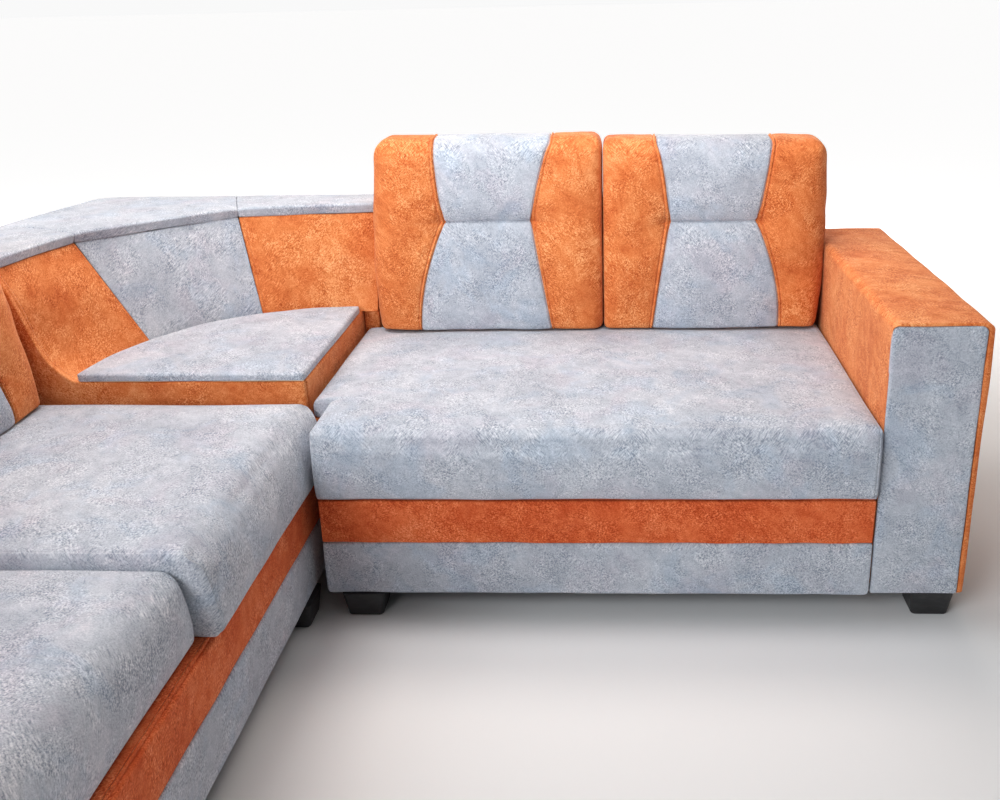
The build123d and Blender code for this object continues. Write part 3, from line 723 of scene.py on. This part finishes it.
def cushion(name, node, s0, s1, front, place, seams, curves, tuft_z, drop, radii, seed, body, free, taper, wrinkle):
    """A sewn back cushion: orange sides, grey waisted panel, one tufted line, lapped and topstitched seams."""
    W, T, H = s1 - s0, 740.0 - front, 484.0
    top_l, top_r, mid_l, mid_r, bot_l, bot_r = seams
    ul, ur, ll, lr = curves
    ct = tuft_z - 452.0
    offs = (-26, -18, -13, -11, -9.6, -8.2, -5.4, -2.4, -0.9, 0, 0.9, 2.6, 6, 12, 20)
    mx = [mid_l + o for o in offs] + [mid_r - o for o in offs]
    mz = [ct + o for o in (-34, -22, -13, -7, -3, -1.2, 0, 1.2, 3, 7, 13, 22, 34)]
    xs, ys, zs = ticks(W, 66, 66, 11.0, mx), ticks(T, 50, 42, 14.0), ticks(H, 20, 66, 11.0, mz)
    P0, quads, side, idx = gridbox(xs, ys, zs)
    a0, b0, c = P0[:, 0], P0[:, 1], P0[:, 2]
    up, dn = np.clip((c - ct) / (H - ct), 0, 1), np.clip((ct - c) / ct, 0, 1)
    sl = mid_l + (top_l - mid_l) * ul(up) + (bot_l - mid_l) * ll(dn)
    sr = mid_r + (top_r - mid_r) * ur(up) + (bot_r - mid_r) * lr(dn)
    a = np.where(a0 <= mid_l, a0 * sl / mid_l,
                 np.where(a0 <= mid_r, sl + (a0 - mid_l) * (sr - sl) / (mid_r - mid_l), sr + (a0 - mid_r) * (W - sr) / (W - mid_r)))
    P = P0.copy()
    P[:, 0] = a
    dims = np.array([W, T, H])
    vl, vr = (40 if free[0] else 19), (40 if free[1] else 19)
    P = round_off(P, dims, 9.0, [(0, 0, 2, 1, radii[0]), (0, 1, 2, 1, radii[1]), (0, 0, 1, 0, vl), (0, 1, 1, 0, vr), (1, 0, 2, 1, 44), (1, 1, 2, 1, 40),
                                 (0, 0, 1, 1, 22), (0, 1, 1, 1, 22), (0, 0, 2, 0, 10), (0, 1, 2, 0, 10), (1, 0, 2, 0, 7), (1, 1, 2, 0, 12)])
    near_x = (a0 < (50 if free[0] else 16)) | (W - a0 < (50 if free[1] else 16))
    near_y = np.minimum(b0, T - b0) < 46
    near_z = H - c < 46
    P = relax(P, quads, 0.5 * (near_x.astype(int) + near_y + near_z >= 2), 2)
    # free upper corners keep a full round shoulder
    for r, ca, rim, sign in ((radii[0], radii[0], a0 <= 0.01, -1.0), (radii[1], W - radii[1], a0 >= W - 0.01, 1.0)):
        if free[0 if sign < 0 else 1]:
            vx, vz = P[:, 0] - ca, P[:, 2] - (H - r)
            ln = np.maximum(np.hypot(vx, vz), 1e-6)
            m = (rim | (c >= H - 0.01)) & (vx * sign > 0) & (vz > 0) & (ln < r)
            k = 1 + ease((b0 - 26.0) / 44.0) * ease((T - 26.0 - b0) / 44.0) * (r / ln - 1) * m
            P[:, 0], P[:, 2] = ca + vx * k, H - r + vz * k
    # free sides: drawn in at the top and at the lowest part
    draw = taper[0] * ease((c - 170.0) / (H - 170.0)) + taper[1] * (1 - np.clip(c / 150.0, 0, 1)) ** 1.5
    half = 2 * P[:, 0] / W - 1
    P[:, 0] += draw * np.where(half < 0, -half * free[0], -half * free[1])
    P[:, 2] -= (drop[0] + (drop[1] - drop[0]) * P[:, 0] / W) * ease((c - 230.0) / (H - 230.0))
    # how far the front sits back from its fullest line
    grey_zone = (a0 >= mid_l) & (a0 <= mid_r)
    left_side = a0 < mid_l
    ds = np.where(left_side, sl - a, np.where(a0 > mid_r, a - sr, 0.0))
    dc = c - ct
    wf = ease(1.15 - b0 / (T * 0.62))
    rec = np.zeros(len(P))
    for dist, open_side in ((a, free[0]), (W - a, free[1])):
        rec += (11.0 if open_side else 6.0) * (1 - np.clip(dist / (115.0 if open_side else 62.0), 0, 1)) ** 2
    rec += 9.0 * (1 - np.clip((H - c) / 90, 0, 1)) ** 2 + 3.0 * (1 - np.clip(c / 50, 0, 1)) ** 2
    rec += 17.0 * np.exp(-(np.abs(dc) / 25.0) ** 1.05) * np.where(grey_zone, 1.0, np.exp(-(ds / 30.0) ** 1.3))
    rec += 4.0 * np.exp(-(dc / 62.0) ** 2) * np.exp(-ds / 85.0)
    near_seam = np.where(grey_zone, np.minimum(a - sl, sr - a), ds)
    rec += 4.5 * np.exp(-near_seam / 14.0)
    # the middle of each grey pillow stands out
    mid_u = np.clip((a - sl) / (sr - sl), 0, 1)
    rec -= 3.5 * grey_zone * np.sin(mid_u * math.pi) * np.where(dc > 0, np.sin(up * math.pi), np.sin(dn * math.pi))
    # pinched ends of the tufted line, and fine folds beside the lower seams
    pull = np.where(left_side, wrinkle[0], wrinkle[1]) * (~grey_zone)
    rec += 7.0 * pull * np.exp(-((ds - 7.0) / 15.0) ** 2 - ((dc - 4.0) / 15.0) ** 2)
    rec += 1.7 * pull * np.sin((ds + 0.16 * dc) / 4.6) * np.exp(-((ds - 34.0) / 26.0) ** 2) * np.exp(-((dc + 105.0) / 62.0) ** 2)
    rec += 1.2 * pull * np.sin(np.arctan2(dc, ds + 1e-6) * 9.0 + seed) * np.exp(-((np.hypot(ds, dc) - 62.0) / 40.0) ** 2)
    P[:, 1] += wf * (rec + 6.0)
    # the cover filled: held at the back, underneath, along the tufted line and, more loosely, along the seams
    pins = np.zeros(len(P))
    pins[(near_seam < 1.0) & (b0 < T * 0.6)] = 0.8
    pins[((a0 < 12) & (not free[0])) | ((W - a0 < 12) & (not free[1]))] = 0.95
    pins[(c < 14) | (b0 > T - 20)] = 0.95
    pins[(c < 0.01) | (b0 > T - 0.01) | (grey_zone & (np.abs(dc) < 1.3) & (b0 < 0.01))] = 1.0
    P = inflate(P, quads, pins, 14.0)
    # sewn lines: groove, raised lap on the orange side, topstitch line
    n = normals(P, quads)
    shown = ((b0 <= 0.01) | (c > H - 70)) & (b0 < T - 0.01)
    lap = np.zeros(len(P))
    for line, sign in ((mid_l, -1.0), (mid_r, 1.0)):
        o = (a0 - line) * sign
        lap += -5.2 * np.exp(-(o / 1.5) ** 2) + 2.5 * np.exp(-((o - 4.8) / 2.7) ** 2) - 3.4 * np.exp(-((o - 9.6) / 1.7) ** 2)
    lap += np.where(grey_zone, -4.6 * np.exp(-(dc / 2.0) ** 2), 0.0) * (b0 <= 0.01)
    calm = np.where(((a0 < 16) & (not free[0])) | ((W - a0 < 16) & (not free[1])), 0.15, 1.0)
    P += n * (lap * shown + calm * (1.2 * ripple(P, 120.0, seed) + 0.5 * ripple(P, 45.0, seed + 9)))[:, None]
    # sides that press on the next cushion share one gentle curve
    bow = 4.0 * np.sin(np.clip(b0 / T, 0, 1) * math.pi)
    P[:, 0] += np.where(half < 0, 0 if free[0] else 1, 0 if free[1] else 1) * bow * ease((np.abs(half) - 0.8) / 0.2)
    P[:, 2] = np.maximum(P[:, 2], 0.2)
    Q = P.copy()
    Q[:, 0] += s0
    Q[:, 1] += front + 0.10381 * P[:, 2]
    Q[:, 2] += 452.0
    which = []
    for q, sd in zip(quads, side):
        m = a0[list(q)].mean()
        which.append(1 if sd in ("front", "top") and mid_l < m < mid_r else 0)
    wp = place(Q)
    flip = place in MIRRORED
    ob = build(name, wp, quads, [orange, grey], which, flip, 1)
    upholster(ob, [node], body)
    wn = normals(wp, quads) * (-1.0 if flip else 1.0)
    lines = []
    for col in (mid_l - 9.6, mid_r + 9.6):
        i = int(np.argmin(np.abs(xs - col)))
        ids = [idx[(i, 0, k)] for k in range(len(zs))] + [idx[(i, j, len(zs) - 1)] for j in range(1, len(ys) - 3)]
        lines.append((wp[ids], wn[ids]))
    stitches(name + "_topstitch", lines, orange_thread, body)
    return ob


cushion("back_cushion_right_inner", "right_cushion_inner", -1.0, 590.5, 587.0, to_right, (165, 465, 190, 414, 117, 463), (early(1.7), late(1.3), early(1.6), late(1.0)),
        729.0, (0.0, 0.0), (45, 24), 2, "right_cushion_inner", (1, 0), (14.0, 10.0), (1.0, 0.35))
cushion("back_cushion_right_outer", "right_cushion_outer", 593.5, 1157.0, 587.0, to_right, (137, 424, 170, 390, 126, 457), (late(1.5), late(1.0), late(0.9), early(1.6)),
        723.0, (6.0, 15.0), (18, 44), 4, "right_cushion_outer", (0, 1), (0.0, 15.0), (0.8, 0.5))
cushion("back_cushion_left_inner", "left_cushion_inner", 4.0, 628.0, 560.0, to_left, (170, 464, 190, 424, 130, 480), (early(1.5), late(1.2), early(1.5), late(1.0)),
        728.0, (0.0, 0.0), (60, 22), 6, "left_cushion_inner", (1, 0), (8.0, 8.0), (0.8, 0.5))
cushion("back_cushion_left_outer", "left_cushion_outer", 632.0, 1260.0, 560.0, to_left, (170, 464, 190, 424, 130, 480), (late(1.4), late(1.0), late(0.9), early(1.5)),
        728.0, (0.0, 0.0), (22, 60), 7, "left_cushion_outer", (0, 1), (4.0, 12.0), (0.7, 0.6))

# --------------------------------------------------------------------------- corner
CX, CY = -1205.0, 143.0
EDGE = [(-1162.0, 712.0), (-1509.0, 671.0), (-1797.0, 400.0), (-1842.0, 144.0)]


def shifted(p, q, off):
    dx, dy = q[0] - p[0], q[1] - p[1]
    n = math.hypot(dx, dy)
    nx, ny = dy / n, -dx / n
    if (p[0] - CX) * nx + (p[1] - CY) * ny < 0:
        nx, ny = -nx, -ny
    return (p[0] + off * nx, p[1] + off * ny), (q[0] + off * nx, q[1] + off * ny)


def meet(l1, l2):
    (x1, y1), (x2, y2) = l1
    (x3, y3), (x4, y4) = l2
    den = (x1 - x2) * (y3 - y4) - (y1 - y2) * (x3 - x4)
    a, b = x1 * y2 - y1 * x2, x3 * y4 - y3 * x4
    return ((a * (x3 - x4) - (x1 - x2) * b) / den, (a * (y3 - y4) - (y1 - y2) * b) / den)


segs = [shifted(EDGE[i], EDGE[i + 1], 5.0) for i in range(3)]
top_line = [meet(segs[0], ((-1162.0, 0), (-1162.0, 100))), meet(segs[0], segs[1]), meet(segs[1], segs[2]), meet(segs[2], ((0, CY + 12), (-100, CY + 12)))]
FOOT_R = 509.0
Z0, Z1 = 489.6, 741.0
COVE = (0.30, 0.222, 0.222, 0.44)


def along(points):
    pts = np.array(points, float)
    acc = np.concatenate([[0], np.cumsum(np.linalg.norm(np.diff(pts, axis=0), axis=1))])
    acc /= acc[-1]
    return lambda u: np.stack([np.interp(u, acc, pts[:, 0]), np.interp(u, acc, pts[:, 1])], 1)


def foot_arc(t0, t1, lead=()):
    th = np.radians(np.linspace(t0, t1, 40))
    return along(list(lead) + [(CX - FOOT_R * math.sin(t), CY + FOOT_R * math.cos(t)) for t in th])


def lean_at(t, cove):
    return t + (cove - 0.222) * 9.48 * t * (1 - t) ** 3


def rest_panel(name, node, foot, i, mat, seed, sewn=()):
    top = along([top_line[i], top_line[i + 1]])
    L = 300.0

    def surface(u, t):
        k = lean_at(t, COVE[i] + (COVE[i + 1] - COVE[i]) * ease(u))[:, None]
        return foot(u) * (1 - k) + top(u) * k

    def warp(P, dims):
        u, t = np.clip(P[:, 0] / dims[0], 0, 1), np.clip(P[:, 2] / dims[2], 0, 1)
        p = surface(u, t)
        d = surface(np.clip(u + 0.02, 0, 1), t) - surface(np.clip(u - 0.02, 0, 1), t)
        nrm = np.stack([d[:, 1], -d[:, 0]], 1)
        nrm /= np.linalg.norm(nrm, axis=1, keepdims=True)
        out = p - np.array([CX, CY])
        nrm *= np.sign((nrm * out).sum(1))[:, None]
        q = p + nrm * P[:, 1:2]
        return np.stack([q[:, 0], q[:, 1], Z0 + P[:, 2]], 1)
    warp.mirrored = True

    def shape(P, P0, dims, quads):
        f = P0[:, 1] < 0.01
        lap = np.zeros(len(P))
        for at in sewn:
            o = np.abs(P0[:, 0] - (0.0 if at < 150 else L))
            lap += 1.7 * np.exp(-((o - 9.5) / 1.7) ** 2) - 1.6 * np.exp(-((o - 4.6) / 2.6) ** 2)
        P[:, 1] += np.where(f, 3.0 - 4.0 * crown(P0, dims, 0, 2, 3.0) + lap, 0)
        return P
    marks = [at + o for at in sewn for o in (-5.0, -2.2, 0.0, 2.2, 5.0)]
    ob, wp, quads, idx, ax = soft_box(name, (0, 0, 0), (L, 22.0, Z1 - Z0), to_world, mat, [node], r=4.0, step=14.0, marks=(marks, (), ()),
                                      shape=shape, warp=warp, wave=0.9, size=130, seed=seed)
    wn = -normals(wp, quads)
    lines = []
    for at in sewn:
        c = int(np.argmin(np.abs(ax[0] - at)))
        ids = [idx[(c, 0, k)] for k in range(1, len(ax[2]) - 1)]
        lines.append((wp[ids], wn[ids]))
    if lines:
        stitches(name + "_topstitch", lines, orange_thread, "sofa")
    return ob


rest_panel("corner_backrest_right_pad", "corner_backrest_right", foot_arc(0.0, 28.2, [(-1162.0, CY + FOOT_R)]), 0, orange, 71, (290.5,))
rest_panel("corner_backrest_centre_pad", "corner_backrest_centre", foot_arc(28.2, 60.8), 1, grey, 72)
rest_panel("corner_backrest_left_pad", "corner_backrest_left", foot_arc(60.8, 88.65), 2, orange, 73, (9.5, 290.5))


def cap(name, node, inner, outer, seed, pinch):
    fi, fo = along(inner), along(outer)
    L = float(np.linalg.norm(np.diff(np.array(inner, float), axis=0), axis=1).sum())
    Wc = 160.0

    def warp(P, dims):
        u = np.clip(P[:, 0] / dims[0], 0, 1)
        a, b = fi(u), fo(u)
        d = b - a
        w = np.linalg.norm(d, axis=1)
        x = P[:, 1]
        at = np.where(x < 22, x, np.where(x > Wc - 22, w - (Wc - x), 22 + (x - 22) * (w - 44) / (Wc - 44)))
        q = a + d * (at / w)[:, None]
        return np.stack([q[:, 0], q[:, 1], 741.5 + P[:, 2]], 1)

    def shape(P, P0, dims, quads):
        LL = dims[0]
        upw = ease((P0[:, 2] - 8) / 14)
        P[:, 2] += upw * 2.2 * crown(P0, dims, 0, 1, 2.5)
        P[:, 1] += 7.0 * (1 - np.clip(P0[:, 2] / 22.0, 0, 1)) * (P0[:, 1] < 9)
        # tucks where the cover is folded round at the mitres
        for end, amount in zip((0.0, LL), pinch):
            if amount:
                x = np.abs(P0[:, 0] - end)
                f = np.exp(-x / 26.0) * np.exp(-(P0[:, 1] / 34.0) ** 2)
                P[:, 2] -= upw * amount * f * (0.6 + 0.6 * np.cos(x / 4.6))
                P[:, 1] += (P0[:, 1] < 30) * amount * 0.5 * f * np.cos(x / 5.5)
        return P
    return soft_box(name, (0, 0, 0), (L, Wc, 26.5), to_world, grey, [node], r=3.5, step=15.0, edges=[(1, 0, 2, 1, 7.0), (1, 1, 2, 1, 10.0)],
                    shape=shape, warp=warp, wave=0.8, size=140, seed=seed)


A, B = EDGE[1], EDGE[2]
cap("corner_cap_right_pad", "corner_cap_right", [A, EDGE[0]], [(-1576.0, 845.0), (-1162.0, 845.0)], 81, (4.0, 0.0))
cap("corner_cap_centre_pad", "corner_cap_centre", [B, A], [(-2028.5, 494.0), (-1968.5, 822.0), (-1958.0, 838.0), (-1940.0, 845.0), (-1576.0, 845.0)], 82, (4.0, 4.0))
cap("corner_cap_left_pad", "corner_cap_left", [EDGE[3], B], [(-2043.0, 144.0), (-2043.0, 406.0), (-2028.5, 494.0)], 83, (0.0, 4.0))


# padded lid: the cover wraps down over the edge of the board
def lid_warp(P, dims):
    R = 505.0
    u, v = np.clip(P[:, 0] / R, 0, 1), np.clip(P[:, 1] / R, 0, 1)
    return np.stack([CX - 0.5 - R * u * np.sqrt(1 - v * v / 2), CY + 0.5 + R * v * np.sqrt(1 - u * u / 2), 490.4 + P[:, 2]], 1)


lid_warp.mirrored = True


def lid_shape(P, P0, dims, quads):
    up = P0[:, 2] > dims[2] - 0.01
    P[:, 2] += np.where(up, 3.5 * crown(P0, dims, 0, 1, 3.0), 0)
    under = (P0[:, 2] < 0.01) & (P0[:, 0] > 7) & (P0[:, 0] < dims[0] - 9) & (P0[:, 1] > 7) & (P0[:, 1] < dims[1] - 9)
    P[under, 2] = 7.2
    return P


soft_box("corner_lid_pad_cover", (0, 0, 0), (505.0, 505.0, 18.4), to_world, grey, ["lid_pad"], r=3.0, step=17.0,
         edges=[(0, 0, 2, 1, 8.0), (1, 0, 2, 1, 8.0), (0, 1, 2, 1, 8.0), (1, 1, 2, 1, 8.0), (0, 0, 1, 0, 10.0), (0, 1, 1, 0, 16.0), (0, 0, 1, 1, 16.0)],
         marks=((7.5, 495.5), (7.5, 495.5), ()), shape=lid_shape, warp=lid_warp, wave=0.7, size=130, seed=91, body="corner_lid")

# box faces under the lid; at the left the front rises and its edge follows the hollow of the backrest
def front_edge(x):
    t = np.linspace(0, 1, 200)
    k = lean_at(t, COVE[3])
    px = (CX - FOOT_R) * (1 - k) + top_line[3][0] * k
    return np.maximum(np.interp(-x, -px, Z0 + t * (Z1 - Z0)), 488.6)


def front_warp(P, dims):
    x = -2030.5 + P[:, 0]
    return np.stack([x, 143.0 + P[:, 1], 58.2 + P[:, 2] / dims[2] * (front_edge(x) - 58.2)], 1)


soft_box("corner_front_cover", (0, 0, 0), (825.5, 11.4, 430.4), to_world, orange, ["corner_front_panel", "corner_gables"], r=3.5, step=15,
         edges=[(0, 1, 1, 0, 8.0), (1, 0, 2, 1, 5.0)], shape=front_puff(1.5), warp=front_warp, wave=0.9, size=150, seed=95)


def side_puff(P, P0, dims, quads):
    P[:, 0] += np.where(P0[:, 0] > dims[0] / 2, 1.5 * crown(P0, dims, 1, 2, 4.0), 0)
    return P


soft_box("corner_side_cover", (-1219.0, 157.5, 58.2), (-1205.0, 832.5, 488.6), to_world, orange, ["corner_side_panel"], r=4.0, step=26,
         edges=[(0, 1, 2, 1, 6.0)], shape=side_puff, wave=0.9, size=150, seed=96)


soft_box("corner_gable_right_cover", (-1173.0, 752.0, 489.0), (-1162.0, 832.5, 740.5), to_world, orange, ["corner_gables"], r=3.0, step=24.0, wave=0.4, seed=98)
soft_box("corner_outer_back_cover", (-1955.0, 833.0, 58.2), (-1162.0, 845.0, 741.0), to_world, orange, ["corner_outer_back"], r=4.0, step=30, wave=0.8, size=190, seed=99)


def outer_left(P, dims):
    line = np.array([(-2043.0, 143.0), (-2043.0, 406.0), (-1970.5, 822.0), (-1958.0, 836.0)])
    acc = np.concatenate([[0], np.cumsum(np.linalg.norm(np.diff(line, axis=0), axis=1))])
    # ease the bends of the panel
    u = P[:, 0] / dims[0] * acc[-1]
    p = np.zeros((len(P), 2))
    d = np.zeros((len(P), 2))
    for o in np.linspace(-9, 9, 7):
        uu = np.clip(u + o, 0, acc[-1])
        p += np.stack([np.interp(uu, acc, line[:, c]) for c in (0, 1)], 1) / 7
    for c in (0, 1):
        d[:, c] = np.interp(np.clip(u + 14, 0, acc[-1]), acc, line[:, c]) - np.interp(np.clip(u - 14, 0, acc[-1]), acc, line[:, c])
    d /= np.linalg.norm(d, axis=1, keepdims=True)
    q = p + np.stack([d[:, 1], -d[:, 0]], 1) * P[:, 1:2]
    return np.stack([q[:, 0], q[:, 1], 58.2 + P[:, 2]], 1)


outer_left.mirrored = True
soft_box("corner_outer_left_cover", (0, 0, 0), (703.0, 12.0, 682.8), to_world, orange, ["corner_outer_left"], r=4.0, step=24, warp=outer_left, wave=0.8, size=190, seed=100)

# ------------------------------------------------------------------ stage and light
floor_mesh = bpy.data.meshes.new("floor")
floor_mesh.from_pydata([(-400, -400, 0), (400, -400, 0), (400, 400, 0), (-400, 400, 0)], [], [(0, 1, 2, 3)])
floor = bpy.data.objects.new("floor", floor_mesh)
scene.collection.objects.link(floor)
fg = Graph("pale_floor")
fg.set(Roughness=0.9, Specular_IOR_Level=0.1)
far = fg.t.nodes.new("ShaderNodeVectorMath")
far.operation = "LENGTH"
fg.link(fg.co, far.inputs[0])
spread = fg.ramp(fg.m("DIVIDE", far.outputs["Value"], 8.0, True), [(0.16, (0.79, 0.795, 0.80)), (0.72, (0.95, 0.95, 0.95))], True)
fg.set(Emission_Color=(1.0, 1.0, 1.0, 1.0))
glow = fg.ramp(fg.m("DIVIDE", far.outputs["Value"], 8.0, True), [(0.17, 0.0), (0.56, 0.80)], True)
fg.link(glow, fg.bsdf.inputs["Emission Strength"])
floor_mesh.materials.append(fg.done(fg.mix(fg.ramp(fg.noise(fg.co, 3.0, 3.0), [(0.3, 0.0), (0.7, 0.06)]), spread, (0.80, 0.80, 0.80))))

world = bpy.data.worlds.new("studio")
world.use_nodes = True
wt = world.node_tree
bg = wt.nodes["Background"]
sep = wt.nodes.new("ShaderNodeSeparateXYZ")
wt.links.new(wt.nodes.new("ShaderNodeTexCoord").outputs["Generated"], sep.inputs[0])
sky = wt.nodes.new("ShaderNodeValToRGB")
SKY = ((0.0, (0.95, 0.95, 0.95)), (0.045, (0.95, 0.95, 0.95)), (0.10, (0.034, 0.036, 0.040)), (0.40, (0.048, 0.050, 0.054)),
       (0.60, (0.100, 0.099, 0.099)), (0.80, (0.205, 0.198, 0.192)), (1.0, (0.41, 0.395, 0.38)))
while len(sky.color_ramp.elements) < len(SKY):
    sky.color_ramp.elements.new(0.5)
for e, (p, c) in zip(sky.color_ramp.elements, SKY):
    e.position = p
    e.color = (*c, 1)
wt.links.new(sep.outputs["Z"], sky.inputs[0])
wt.links.new(sky.outputs[0], bg.inputs[0])
scene.world = world


def area(name, loc, look, size, power, colour, size_y=None):
    d = bpy.data.lights.new(name, "AREA")
    d.energy = power
    d.color = colour
    d.size = size
    if size_y:
        d.shape = "RECTANGLE"
        d.size_y = size_y
    o = bpy.data.objects.new(name, d)
    o.location = loc
    o.rotation_mode = "QUATERNION"
    o.rotation_quaternion = (Vector(look) - Vector(loc)).to_track_quat("-Z", "Y")
    scene.collection.objects.link(o)
    return o


area("rear_soft", (-0.12, 1.40, 2.6), (0.0, 0.62, 0.2), 2.8, 33.0, (1.13, 0.975, 0.89), 0.8)
area("corner_soft", (-0.75, 0.35, 2.0), (-0.55, 0.75, 0.6), 0.9, 14.0, (1.02, 1.0, 0.98), 0.4)
area("right_soft", (0.45, 0.32, 1.5), (0.50, 0.85, 0.65), 0.7, 4.2, (1.0, 1.0, 1.0), 0.3)
area("left_fill", (-1.8, -2.6, 2.0), (0.1, 0.5, 0.6), 2.2, 122.0, (0.96, 1.0, 1.03))
area("back_fill", (0.7, 4.2, 1.9), (0.0, 1.0, 0.4), 2.2, 60.0, (1.03, 1.0, 0.96))

# --------------------------------------------------------------------------- camera
YAW, PITCH, ROLL = 0.04779, -0.33834, -0.02214
FOCAL, PX, PY = 984.8, 572.35, 348.76
r0 = Vector((math.cos(YAW), math.sin(YAW), 0))
fwd = Vector((-math.sin(YAW) * math.cos(PITCH), math.cos(YAW) * math.cos(PITCH), math.sin(PITCH)))
u0 = r0.cross(fwd)
right = math.cos(ROLL) * r0 + math.sin(ROLL) * u0
upv = -math.sin(ROLL) * r0 + math.cos(ROLL) * u0
cam_data = bpy.data.cameras.new("camera")
cam_data.sensor_fit = "HORIZONTAL"
cam_data.sensor_width = 36.0
cam_data.lens = FOCAL * 36.0 / 1000.0
cam_data.shift_x = (500.0 - PX) / 1000.0
cam_data.shift_y = (PY - 400.0) / 1000.0
cam_data.clip_end = 2000.0
cam = bpy.data.objects.new("camera", cam_data)
cam.matrix_world = Matrix(((right.x, upv.x, -fwd.x, 0.39401), (right.y, upv.y, -fwd.y, -1.57987), (right.z, upv.z, -fwd.z, 1.25136), (0, 0, 0, 1)))
scene.collection.objects.link(cam)
scene.camera = cam
